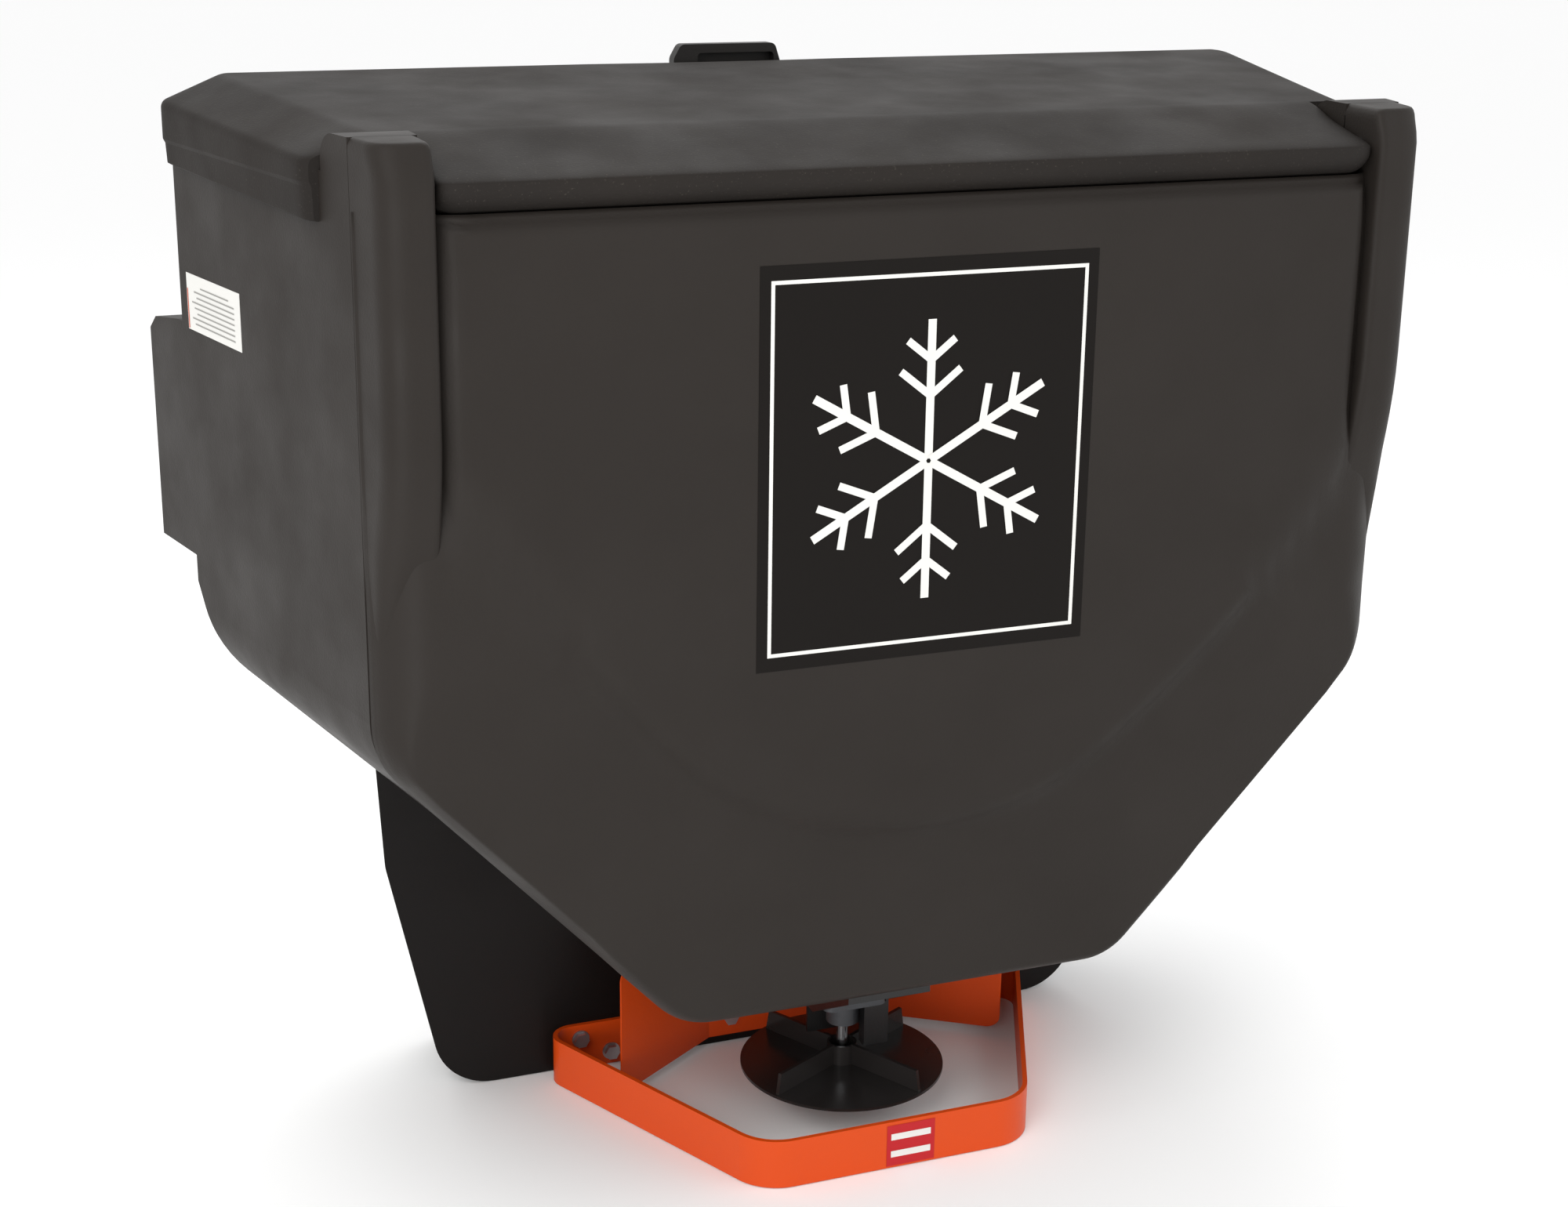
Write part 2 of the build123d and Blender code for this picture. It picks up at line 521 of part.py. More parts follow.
def motor_rotor():
    """Wound rotor on its shaft, with the worm on the gearbox end."""
    y0 = SHAFT_Y + GEARBOX_Y / 2
    rotor = rod_y(20, y0 + 22, MOTOR_END - 22, 0, MOTOR_Z)
    return rotor + rod_y(4, y0 - 24, MOTOR_END - 9, 0, MOTOR_Z)


def discharge_chute():
    """Square duct from the outlet past the gearbox, cut off obliquely below, with bolting flanges."""
    t = CHUTE_T
    duct = box(-CHUTE_HALF, CHUTE_HALF, CHUTE_Y0, CHUTE_Y1, CHUTE_FOOT_Z, FLOOR_Z)
    duct -= box(t - CHUTE_HALF, CHUTE_HALF - t, CHUTE_Y0 + t, CHUTE_Y1 - t, CHUTE_FOOT_Z - 1, FLOOR_Z + 1)
    for side in (-1, 1):
        x0, x1 = sorted((side * CHUTE_HALF, side * (CHUTE_HALF + 22)))
        duct += box(x0, x1, CHUTE_Y0 + 10, CHUTE_Y1, FLOOR_Z - t, FLOOR_Z)
    cut = [(CHUTE_Y0 - 1, CHUTE_LIP_Z), (CHUTE_Y0 + 92, CHUTE_FOOT_Z), (CHUTE_Y0 + 92, CHUTE_FOOT_Z - 9),
           (CHUTE_Y0 - 1, CHUTE_FOOT_Z - 9)]
    duct -= slab_x(cut, -100, 100)
    duct -= box(-CHUTE_HALF - 30, t + 1 - CHUTE_HALF, GATE_Y0 - 0.5, GATE_Y1 + 0.5, GATE_Z - 0.6, FLOOR_Z + 1)
    duct -= rod_y(MOTOR_R + 2, CHUTE_Y1 - t - 1, CHUTE_Y1 + 1, 0, MOTOR_Z)
    for x, y in chute_bolt_places():
        duct -= rod_z(3.3, FLOOR_Z - t - 1, FLOOR_Z + 1, x, y)
    for y0, y1 in ((CHUTE_Y0 + t, CHUTE_Y0 + t + 4), (GATE_Y1 - 3, GATE_Y1 + 4)):
        duct += box(t - CHUTE_HALF, CHUTE_HALF - t, y0, y1, GATE_Z - 3.5, GATE_Z - 0.5)
    return duct


def feed_guide():
    """U-shaped sheet below the chute: rear wall, right wall and a returned front strip."""
    t, right = 3.0, GUIDE_HALF
    sheet = box(-30, right, GUIDE_Y1 - t, GUIDE_Y1, GUIDE_Z, 118)
    sheet += box(right - t, right, GUIDE_Y0, GUIDE_Y1, GUIDE_Z, 146)
    sheet += box(14, right, GUIDE_Y0, GUIDE_Y0 + t, GUIDE_Z, 118)
    return sheet + box(14, 14 + t, GUIDE_Y0, GUIDE_Y0 + 13, GUIDE_Z, 118)


def feed_gate():
    """Plate that slides sideways under the outlet, with a turned-down grip."""
    plate = box(GATE_X0, GATE_X1, GATE_Y0, GATE_Y1, GATE_Z, GATE_Z + GATE_T)
    return plate + box(GATE_X0, GATE_X0 + GATE_T, GATE_Y0, GATE_Y1, GATE_Z - 16, GATE_Z + 1)


def lid_section(y, inset, top_inset):
    """Cross-section of the wide part of the lid at depth y as (x, z) points."""
    w = half_width(y) + LID_OVERHANG - inset
    top = lid_top(y) - top_inset
    low = lid_top(y) - LID_HEIGHT - inset
    crease = w + inset - LID_CHAMFER_IN - inset * 0.4
    knee = lid_top(y) - LID_CHAMFER_DROP - top_inset
    return [(-w, low), (-w, knee), (-crease, top), (crease, top), (w, knee), (w, low)]


def lid_block(y0, y1, inset, top_inset):
    """Tapered solid of the wide part of the lid."""
    ends = [face_at_y(lid_section(y, inset, top_inset), y) for y in (y0, y1)]
    return loft(ends, ruled=True)


def lid_neck(inset):
    """The lid between the columns: a bar from the barrel back to the wide part."""
    half = BARREL_HALF - inset
    outline = [(HINGE_Y, HINGE_Z - 20 + inset), (HINGE_Y, LID_TOP_FRONT - inset),
               (LID_WIDE_Y + 12, lid_top(LID_WIDE_Y + 12) - inset), (LID_WIDE_Y + 12, HINGE_Z - 20 + inset)]
    return slab_x(outline, -half, half)


def lid_shape():
    """Moulded lid with its hinge barrel, open underneath."""
    wide = lid_block(LID_WIDE_Y, LID_REAR_Y - 20, 0, 0)
    ends = [lid_section(LID_REAR_Y - 20, 0, 0), lid_section(LID_REAR_Y, 14, 2)]
    wide += loft([face_at_y(ends[0], LID_REAR_Y - 20), face_at_y(ends[1], LID_REAR_Y)], ruled=True)
    wide -= lid_block(LID_WIDE_Y + LID_WALL, LID_REAR_Y - LID_WALL - 14, LID_WALL, LID_WALL)
    barrel = rod_x(BARREL_R, -BARREL_HALF, BARREL_HALF, HINGE_Y, HINGE_Z)
    barrel = fillet(barrel.edges().filter_by(GeomType.CIRCLE), BARREL_END_ROUND)
    hollow = rod_x(BARREL_R - LID_WALL, 8 - BARREL_HALF, BARREL_HALF - 8, HINGE_Y, HINGE_Z)
    body = wide + barrel + lid_neck(0) - hollow - lid_neck_room()
    body -= rod_x(ROD_R + RUNNING, -500, 500, HINGE_Y, HINGE_Z)
    body -= hopper_gap()
    notch = [(NOTCH_X - NOTCH_HALF, LID_REAR_Y + 1), (NOTCH_X - NOTCH_HALF + 12, LID_REAR_Y - NOTCH_DEPTH),
             (NOTCH_X + NOTCH_HALF - 12, LID_REAR_Y - NOTCH_DEPTH), (NOTCH_X + NOTCH_HALF, LID_REAR_Y + 1)]
    return body - slab_z(notch, 900, 1100)


def hopper_gap():
    """Room the lid leaves round the hopper's rim and the gasket on it."""
    edge0, edge1 = half_width(LID_WIDE_Y - 20) + 3, half_width(REAR_Y + 20) + 3
    outside = [(-edge0, LID_WIDE_Y - 20), (edge0, LID_WIDE_Y - 20), (edge1, REAR_Y + 20), (-edge1, REAR_Y + 20)]
    in0, in1, rear = edge0 - 16, edge1 - 16, REAR_Y - 30
    inside = [(-in0, LID_WIDE_Y - 21), (in0, LID_WIDE_Y - 21), (in1, rear), (-in1, rear)]
    return slab_z(outside, 940, 1060) - slab_z(inside, 930, 1070) - above_rim(GASKET_H + CLEAR)


def lid_neck_room():
    """Hollow of the neck, open below behind the barrel."""
    half = BARREL_HALF - LID_WALL
    y0, y1 = HINGE_Y + BARREL_R - 3, LID_WIDE_Y + 20
    outline = [(y0, HINGE_Z - 50), (y0, lid_top(y0) - LID_WALL), (y1, lid_top(y1) - LID_WALL), (y1, HINGE_Z - 50)]
    return slab_x(outline, -half, half)


def lid_gasket():
    """Foam strip on the side and rear rims of the hopper, under the lid."""
    y0, y1 = LID_WIDE_Y + LID_WALL + 2, REAR_Y - 2
    w0, w1 = half_width(y0) - 1, half_width(y1) - 1
    outside = [(-w0, y0), (w0, y0), (w1, y1 - 18), (w1 - 18, y1), (18 - w1, y1), (-w1, y1 - 18)]
    v0, v1 = half_width(y0 - 1) - 8, half_width(y1) - 8
    inside = [(-v0, y0 - 1), (v0, y0 - 1), (v1, y1 - 24), (v1 - 24, y1 - 8), (24 - v1, y1 - 8), (-v1, y1 - 24)]
    strip = slab_z(outside, 970, 1040) - slab_z(inside, 969, 1041)
    return (strip & above_rim(0)) - above_rim(GASKET_H)


def hinge_rod():
    """Steel rod through both columns and the lid's barrel."""
    return rod_x(ROD_R, -COLUMN_IN - 33, COLUMN_IN + 33, HINGE_Y, HINGE_Z)


def latch_handle():
    """Upright pull handle behind the lid, with a finger pocket and a nose that faces the strike."""
    x0, x1, y1 = LATCH_X - LATCH_HALF, LATCH_X + LATCH_HALF, LATCH_Y0 + LATCH_T
    outline = [(x0, PIN_Z - 10), (x1, PIN_Z - 10), (x1, 1036), (x1 - 9, LATCH_TOP), (x0 + 8, LATCH_TOP), (x0, 1050)]
    handle = extrude(face_at_y(outline, LATCH_Y0, [1, 1, 20, 7, 7, 12]), amount=LATCH_T, dir=(0, 1, 0))
    pocket = box(x0 + 26, x1 - 10, LATCH_Y0 - 1, LATCH_Y0 + LATCH_POCKET, 1030, 1055)
    handle -= fillet(pocket.edges().filter_by(Axis.Y), 4)
    handle -= box(LATCH_X - 24, LATCH_X + 24, LATCH_Y0 - 1, y1 + 1, PIN_Z - 11, PIN_Z + 12)
    handle += box(LATCH_X - 20, LATCH_X + 20, LATCH_Y0 - 8, LATCH_Y0 + 1, 1012, 1026)
    return handle - rod_x(PIN_R + RUNNING, x0 - 1, x1 + 1, LATCH_Y0 + LATCH_T / 2, PIN_Z)


def latch_bracket():
    """Bracket on the rear wall that carries the latch pin between two cheeks."""
    y = LATCH_Y0 + LATCH_T / 2
    plate = box(LATCH_X - 80, LATCH_X + 80, REAR_Y, REAR_Y + 4, PIN_Z - 50, PIN_Z - 14)
    for side in (-1, 1):
        x0, x1 = sorted((LATCH_X + side * (LATCH_HALF + 1), LATCH_X + side * (LATCH_HALF + 7)))
        plate += box(x0, x1, REAR_Y, y + 8, PIN_Z - 50, PIN_Z + 9)
    for x, z in bracket_screw_places():
        plate -= rod_y(2.6, REAR_Y - 1, REAR_Y + 5, x, z)
    return plate - rod_x(PIN_R, LATCH_X - 80, LATCH_X + 80, y, PIN_Z)


def bracket_screw_places():
    return [(LATCH_X + x, PIN_Z + z) for x in (-40, 40) for z in (-42, -23)]


def latch_pin():
    """Headed pin of the latch."""
    y, end = LATCH_Y0 + LATCH_T / 2, LATCH_HALF + 9
    head = rod_x(6.5, LATCH_X + end - 2, LATCH_X + end + 2, y, PIN_Z)
    return rod_x(PIN_R, LATCH_X - end, LATCH_X + end, y, PIN_Z) + head


def lid_strike():
    """Steel plate on the lid's rear edge, in the notch, facing the latch."""
    y = LID_REAR_Y - NOTCH_DEPTH
    return box(NOTCH_X - 30, NOTCH_X + 34, y, y + 2.0, lid_top(y) - 24, lid_top(y) - 6)


def button_screws(places, y, length, radius, head_r, head_h):
    """Round-headed screws along Y, heads at y pointing to +Y, shanks towards -Y."""
    return solids([rod_y(head_r, y, y + head_h, x, z) + rod_y(radius, y - length, y, x, z) for x, z in places])


def mount_plate():
    """Steel plate on the rear box for the truck's bracket."""
    z0, z1 = PLATE_MID_Z - PLATE_Z / 2, PLATE_MID_Z + PLATE_Z / 2
    plate = box(-PLATE_X / 2, PLATE_X / 2, BOX_Y, BOX_Y + PLATE_T, z0, z1)
    plate = fillet(plate.edges().filter_by(Axis.Y), 12)
    for x, z in mount_places():
        plate -= rod_y(MOUNT_R, BOX_Y - 1, BOX_Y + PLATE_T + 1, x, z)
    for x, z in plate_bolt_places():
        plate -= rod_y(4.0, BOX_Y - 1, BOX_Y + PLATE_T + 1, x, z)
    return plate


def mount_plate_bolts():
    """Dome-headed bolts from inside the rear box, flush with the plate."""
    y = BOX_Y - WALL
    return solids([rod_y(9.0, y - 4, y, x, z) + rod_y(4.0, y - 1, BOX_Y + PLATE_T, x, z)
                   for x, z in plate_bolt_places()])


def vertical_bolts(places, z, length, head_z):
    """Bolts along Z with their heads at head_z on the hopper floor, shanks downward."""
    return solids([rod_z(3.3, z - length, z, x, y) + rod_z(6.0, z, z + head_z, x, y) for x, y in places])


def cable_gland():
    """Gland for the supply cable in the housing's rear wall."""
    body = rod_y(10.0, HOUSING_Y1 - HOUSING_WALL - 8, HOUSING_Y1, 200, 110)
    hexagon = Pos(200, HOUSING_Y1, 110) * Rot(-90, 0, 0) * RegularPolygon(15, 6)
    body += extrude(hexagon, amount=12, dir=(0, 1, 0))
    body += rod_y(15.0, HOUSING_Y1 - HOUSING_WALL - 6, HOUSING_Y1 - HOUSING_WALL, 200, 110)
    return body - rod_y(5.0, 400, 500, 200, 110)


def front_decal():
    """Blank weatherproof sheet on the flat front field."""
    return box(-167, 160, -0.4, 0, 550, 918)


def side_label():
    """Small plate on the left side wall, following its slope in plan."""
    y0, y1 = 308.0, 441.0
    x0, x1 = -half_width(y0), -half_width(y1)
    return slab_z([(x0, y0), (x1, y1), (x1 - 0.4, y1), (x0 - 0.4, y0)], 808, 863)


def save(name, shape):
    """Move a sub-part to the machine's origin and write it."""
    export_step(Pos(0, -DEPTH_CENTRE, 0) * shape, f"parts/{name}.step")
    print(f"{name:20s} {len(shape.solids())} {shape.volume / 1000:10.1f} cm3")


def main():
    os.makedirs("parts", exist_ok=True)
    flange_y = HOUSING_Y0 - BAND_T
    nut_y = HOUSING_Y0 + HOUSING_WALL
    guards, strips_ = guard_bolt_places(), deflector_bolt_places()
    save("hopper_shell", hopper_shell())
    save("front_shell", front_shell())
    save("drive_housing", drive_housing())
    save("housing_cover", housing_cover())
    save("cover_screws", button_screws(cover_screw_places(), HOUSING_Y1 + 4, 10, 2.2, 5.0, 2.4))
    save("cable_gland", cable_gland())
    save("lid", lid_shape())
    save("lid_gasket", lid_gasket())
    save("lid_strike", lid_strike())
    save("hinge_rod", hinge_rod())
    save("latch_handle", latch_handle())
    save("latch_bracket", latch_bracket())
    save("latch_pin", latch_pin())
    save("bracket_screws", button_screws(bracket_screw_places(), REAR_Y + 4, 9, 2.6, 5.0, 2.5))
    save("feed_gate", feed_gate())
    save("discharge_chute", discharge_chute())
    save("feed_guide", feed_guide())
    save("chute_bolts", vertical_bolts(chute_bolt_places(), FLOOR_Z + WALL, 12, 3.5))
    save("gearbox_housing", gearbox_housing())
    save("gearbox_cover", gearbox_cover())
    save("gearbox_bolts", vertical_bolts(gearbox_bolt_places(), FLOOR_Z + WALL, 33, 3.5))
    save("lower_bearing", ring(11.1, SHAFT_R + 0.05, BOSS_Z, BOSS_Z + 14))
    save("shaft_seal", ring(14.0, SHAFT_R + 0.05, FLOOR_Z, FLOOR_Z + WALL + 3))
    save("motor_can", motor_can())
    save("motor_end_cap", motor_end_cap())
    save("motor_rotor", motor_rotor())
    save("spinner_shaft", spinner_shaft())
    save("spinner_disc", spinner_disc())
    save("spinner_pin", cross_pin(0))
    save("agitator", agitator())
    save("guard_band", guard_band())
    save("guard_bolts", solids([hex_bolt(x, flange_y - 1.6, z, 24) for x, z in guards]))
    save("guard_washers", solids([washer(x, flange_y - 1.6, z, 9.6, BOLT_R, 1.6) for x, z in guards]))
    save("guard_nuts", solids([hex_nut(x, nut_y, z) for x, z in guards]))
    save("deflector", deflector())
    save("deflector_bolts", solids([hex_bolt(x, HOUSING_Y0 - DEFLECTOR_T, z, 18) for x, z in strips_]))
    save("deflector_nuts", solids([hex_nut(x, nut_y, z) for x, z in strips_]))
    save("mount_plate", mount_plate())
    save("mount_plate_bolts", mount_plate_bolts())
    save("front_decal", front_decal())
    save("side_label", side_label())


main()
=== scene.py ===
import json
from math import cos, pi, radians, sin, sqrt, tan

import bmesh
import bpy
from mathutils import Matrix, Vector


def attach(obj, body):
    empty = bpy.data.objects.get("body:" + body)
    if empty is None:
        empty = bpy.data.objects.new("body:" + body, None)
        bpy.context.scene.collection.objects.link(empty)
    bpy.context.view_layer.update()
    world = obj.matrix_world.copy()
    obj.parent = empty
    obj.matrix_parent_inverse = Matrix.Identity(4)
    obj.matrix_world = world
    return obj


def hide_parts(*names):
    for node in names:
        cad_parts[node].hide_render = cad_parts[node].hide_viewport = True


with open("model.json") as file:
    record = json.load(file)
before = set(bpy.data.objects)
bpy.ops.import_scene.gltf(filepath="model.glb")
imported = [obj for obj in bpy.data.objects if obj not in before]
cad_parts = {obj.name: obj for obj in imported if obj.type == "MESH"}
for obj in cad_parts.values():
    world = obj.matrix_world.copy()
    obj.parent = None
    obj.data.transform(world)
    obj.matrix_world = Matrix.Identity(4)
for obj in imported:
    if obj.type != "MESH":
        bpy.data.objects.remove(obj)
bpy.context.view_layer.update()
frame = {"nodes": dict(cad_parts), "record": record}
nodes = frame["nodes"]

# Everything below is laid out from the flat front panel (y = 0) and moved back by this at the end.
BACK = 0.280


# ---------------------------------------------------------------- materials

def linear(hex_colour):
    """Linear RGBA of an sRGB hex colour."""
    parts = [int(hex_colour[i:i + 2], 16) / 255 for i in (1, 3, 5)]
    return tuple(c / 12.92 if c <= 0.04045 else ((c + 0.055) / 1.055) ** 2.4 for c in parts) + (1.0,)


def material(name, colour, rough, metal=0.0, coat=0.0, spec=0.5, grain=0.0, grain_scale=400.0,
             mottle=0.0, mottle_to=None, mottle_scale=6.0, speck=None, speck_amount=0.0, rough_vary=0.08):
    """Principled material with procedural colour mottling, roughness variation, grain and specks."""
    m = bpy.data.materials.new(name)
    m.use_nodes = True
    nt = m.node_tree
    b = nt.nodes["Principled BSDF"]
    b.inputs["Base Color"].default_value = linear(colour)
    b.inputs["Roughness"].default_value = rough
    b.inputs["Metallic"].default_value = metal
    b.inputs["Coat Weight"].default_value = coat
    b.inputs["Coat Roughness"].default_value = 0.12
    b.inputs["Specular IOR Level"].default_value = spec
    where = nt.nodes.new("ShaderNodeTexCoord").outputs["Object"]

    def noise(scale, detail=4.0):
        n = nt.nodes.new("ShaderNodeTexNoise")
        n.inputs["Scale"].default_value = scale
        n.inputs["Detail"].default_value = detail
        nt.links.new(where, n.inputs["Vector"])
        return n.outputs["Fac"]

    def spread(value, low, high, out_low, out_high):
        r = nt.nodes.new("ShaderNodeMapRange")
        for key, v in zip(("From Min", "From Max", "To Min", "To Max"), (low, high, out_low, out_high)):
            r.inputs[key].default_value = v
        nt.links.new(value, r.inputs["Value"])
        return r.outputs["Result"]

    colour_out = None
    if mottle:
        mix = nt.nodes.new("ShaderNodeMix")
        mix.data_type = "RGBA"
        mix.inputs["A"].default_value = linear(colour)
        mix.inputs["B"].default_value = linear(mottle_to or colour)
        nt.links.new(spread(noise(mottle_scale), 0.35, 0.7, 0.0, mottle), mix.inputs["Factor"])
        colour_out = mix.outputs["Result"]
    if speck_amount:
        mix = nt.nodes.new("ShaderNodeMix")
        mix.data_type = "RGBA"
        mix.inputs["B"].default_value = linear(speck)
        nt.links.new(spread(noise(520.0, 2.0), 0.66, 0.74, 0.0, speck_amount), mix.inputs["Factor"])
        if colour_out:
            nt.links.new(colour_out, mix.inputs["A"])
        else:
            mix.inputs["A"].default_value = linear(colour)
        colour_out = mix.outputs["Result"]
    if colour_out:
        nt.links.new(colour_out, b.inputs["Base Color"])
    if rough_vary:
        vary = spread(noise(11.0), 0.3, 0.7, rough - rough_vary, rough + rough_vary)
        nt.links.new(vary, b.inputs["Roughness"])
    if grain:
        bump = nt.nodes.new("ShaderNodeBump")
        bump.inputs["Strength"].default_value = grain
        bump.inputs["Distance"].default_value = 0.0006
        nt.links.new(noise(grain_scale, 3.0), bump.inputs["Height"])
        nt.links.new(bump.outputs["Normal"], b.inputs["Normal"])
    return m


MATERIALS = {
    "hopper_plastic": material("hopper", "#26221f", 0.52, grain=0.35, mottle=0.5, mottle_to="#2b2724",
                               spec=0.15),
    # housing: near black, far darker than the hopper plastic, as painted shade for its place in shadow under
    # the hopper
    "housing_plastic": material("housing", "#110e0d", 0.42, grain=0.25, mottle=0.4, mottle_to="#161211",
                                spec=0.15),
    "lid_plastic": material("lid", "#24211f", 0.62, grain=0.35, mottle=0.6, mottle_to="#2a2623",
                            speck="#5d5850", speck_amount=0.3, spec=0.1),
    "black_plastic": material("black", "#161616", 0.45, grain=0.2),
    "gasket_foam": material("gasket", "#161616", 0.85, grain=0.5),
    "seal_rubber": material("seal", "#101010", 0.7),
    "zinc_steel": material("zinc", "#c3c6ca", 0.32, metal=1.0, mottle=0.5, mottle_to="#9fa2a6",
                           mottle_scale=60),
    "bright_steel": material("bright", "#c8c9cb", 0.2, metal=1.0),
    "latch_plastic": material("latch", "#1b1918", 0.42, grain=0.2, mottle=0.5, mottle_to="#26231f",
                              spec=0.25),
    "stainless_sheet": material("stainless", "#b4b6b8", 0.3, metal=1.0),
    "chute_black": material("chute", "#0e0d0d", 0.4, grain=0.2),
    "gear_cast": material("cast", "#55575a", 0.55, metal=0.8, grain=0.5),
    "motor_paint": material("motor", "#202122", 0.35),
    "disc_gloss": material("disc", "#242120", 0.25, spec=0.4, rough_vary=0.03, grain=0.05, grain_scale=60),
    "orange_coat": material("orange", "#cc4508", 0.42, coat=0.08, mottle=0.3, mottle_to="#c24007", spec=0.25,
                            grain=0.2, grain_scale=260, rough_vary=0.05),
    "plate_coat": material("plate", "#181819", 0.45, grain=0.2),
    "decal_film": material("film", "#14110f", 0.5, spec=0.1, rough_vary=0.03),
    "label_film": material("label", "#d8d7d3", 0.35, rough_vary=0.03, spec=0.3),
    "rule_grey": material("rule", "#8f8e8a", 0.5, rough_vary=0.03, spec=0.3),
    "patch_red": material("patch", "#b01820", 0.35, rough_vary=0.03, spec=0.3),
}


slots = {s["node"]: s["material_slot"] for s in frame["record"]["subparts"]}


def dress(obj, slot):
    """Give an object one material, the one listed under slot."""
    obj.data.materials.clear()
    obj.data.materials.append(MATERIALS[slot])


def bevel(obj, width, segments=3, angle=35):
    """Rounded edges with smooth shading."""
    obj.data.polygons.foreach_set("use_smooth", [True] * len(obj.data.polygons))
    m = obj.modifiers.new("edges", "BEVEL")
    m.width, m.segments, m.limit_method, m.angle_limit = width, segments, "ANGLE", radians(angle)
    m.harden_normals = True
    return m


for name, obj in nodes.items():
    obj.data.materials.clear()
    obj.data.materials.append(MATERIALS[slots[name]])

ROUNDED = {"guard_band": 0.0012, "deflector": 0.0006, "spinner_disc": 0.0012, "latch_handle": 0.003,
           "latch_bracket": 0.0008, "discharge_chute": 0.0008, "feed_guide": 0.0008, "guard_bolts": 0.0008,
           "deflector_bolts": 0.0008, "gearbox_housing": 0.002, "housing_cover": 0.001, "mount_plate": 0.001,
           "drive_housing": 0.004, "hopper_shell": 0.003}
for name, width in ROUNDED.items():
    bevel(nodes[name], width)


# ---------------------------------------------------------------- shaping helpers

FRONT_HALF, FLARE, SEAM = 0.5066, 0.216, 0.057


def half(y):
    """Outside of the hopper's side wall at depth y."""
    return FRONT_HALF + FLARE * (y - SEAM)


def smooth(t):
    """Soft step from 0 to 1 as t goes from 0 to 1."""
    t = min(1.0, max(0.0, t))
    return t * t * (3 - 2 * t)


def make(name, verts, faces, slot, body, stands_for=(), sharp=32):
    """Mesh object from rows of points, smooth-shaded but for sharp creases, riding on a body."""
    mesh = bpy.data.meshes.new(name)
    mesh.from_pydata([(x, y - BACK, z) for x, y, z in verts], [], faces)
    bm = bmesh.new()
    bm.from_mesh(mesh)
    bmesh.ops.remove_doubles(bm, verts=bm.verts, dist=1e-6)
    bmesh.ops.recalc_face_normals(bm, faces=bm.faces)
    bm.to_mesh(mesh)
    bm.free()
    mesh.polygons.foreach_set("use_smooth", [True] * len(mesh.polygons))
    mesh.set_sharp_from_angle(angle=radians(sharp))
    obj = bpy.data.objects.new(name, mesh)
    bpy.context.scene.collection.objects.link(obj)
    dress(obj, slot)
    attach(obj, body)
    if stands_for:
        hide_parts(*stands_for)
    return obj


def thicken(obj, wall):
    """Wall thickness laid inwards from the outside skin."""
    shell = obj.modifiers.new("thickness", "SOLIDIFY")
    shell.thickness, shell.offset = wall, -1.0


def grid(rows, closed=False):
    """Vertices and quads of a list of equally long rows."""
    n = len(rows[0])
    verts = [p for row in rows for p in row]
    faces = []
    for j in range(len(rows) - 1):
        for i in range(n if closed else n - 1):
            k = (i + 1) % n
            faces.append((j * n + i, j * n + k, (j + 1) * n + k, (j + 1) * n + i))
    return verts, faces


def rounded(points, radii, arc=7):
    """Open 2D path through points, its inner corners rounded; equal sample counts for equal inputs."""
    out = [points[0]]
    for i in range(1, len(points) - 1):
        p, a, b = Vector(points[i]), Vector(points[i - 1]), Vector(points[i + 1])
        u, v = (a - p).normalized(), (b - p).normalized()
        cut = radii[i - 1] / tan(max(0.05, u.angle(v)) / 2)
        cut = min(cut, (a - p).length * 0.48, (b - p).length * 0.48)
        p0, p1 = p + u * cut, p + v * cut
        for k in range(arc + 1):
            t = k / arc
            out.append(tuple(p0 * (1 - t) ** 2 + p * (2 * t * (1 - t)) + p1 * t ** 2))
    out.append(points[-1])
    full = []
    for i in range(len(out) - 1):
        full.append(out[i])
        # straight runs get extra points so that shading and bending stay even
        if i % (arc + 1) == 0:
            for k in range(1, 12):
                t = k / 12
                full.append(tuple(Vector(out[i]) * (1 - t) + Vector(out[i + 1]) * t))
    return full + [out[-1]]


# ---------------------------------------------------------------- front moulding

FIELD_EDGE = [(-0.447, 1.0), (-0.452, 0.82), (-0.447, 0.775), (-0.426, 0.733), (-0.359, 0.643),
              (-0.289, 0.549), (-0.215, 0.465), (-0.138, 0.417), (-0.060, 0.393), (0.022, 0.386),
              (0.103, 0.399), (0.170, 0.430), (0.226, 0.472), (0.292, 0.529), (0.348, 0.586),
              (0.408, 0.660), (0.446, 0.733), (0.452, 0.80), (0.447, 1.0)]


def curve(points, steps):
    """Smooth curve through 2D points."""
    out = []
    for i in range(len(points) - 1):
        p0, p1 = Vector(points[max(0, i - 1)]), Vector(points[i])
        p2, p3 = Vector(points[i + 1]), Vector(points[min(len(points) - 1, i + 2)])
        for k in range(steps):
            t = k / steps
            out.append(0.5 * (2 * p1 + (p2 - p0) * t + (2 * p0 - 5 * p1 + 4 * p2 - p3) * t * t
                              + (3 * p1 - p0 - 3 * p2 + p3) * t ** 3))
    return out + [Vector(points[-1])]


EDGE = curve(FIELD_EDGE, 6)


def outside_field(x, z):
    """Distance outside the flat field's rounded foot; negative inside."""
    p = Vector((x, z))
    best, sign = 9.0, 1.0
    for a, b in zip(EDGE, EDGE[1:]):
        ab = b - a
        t = min(1.0, max(0.0, (p - a).dot(ab) / ab.length_squared))
        q = a + ab * t
        d = (p - q).length
        if d < best - 1e-9:
            best, sign = d, (1.0 if ab.x * (p.y - a.y) - ab.y * (p.x - a.x) < 0 else -1.0)
    return best * sign


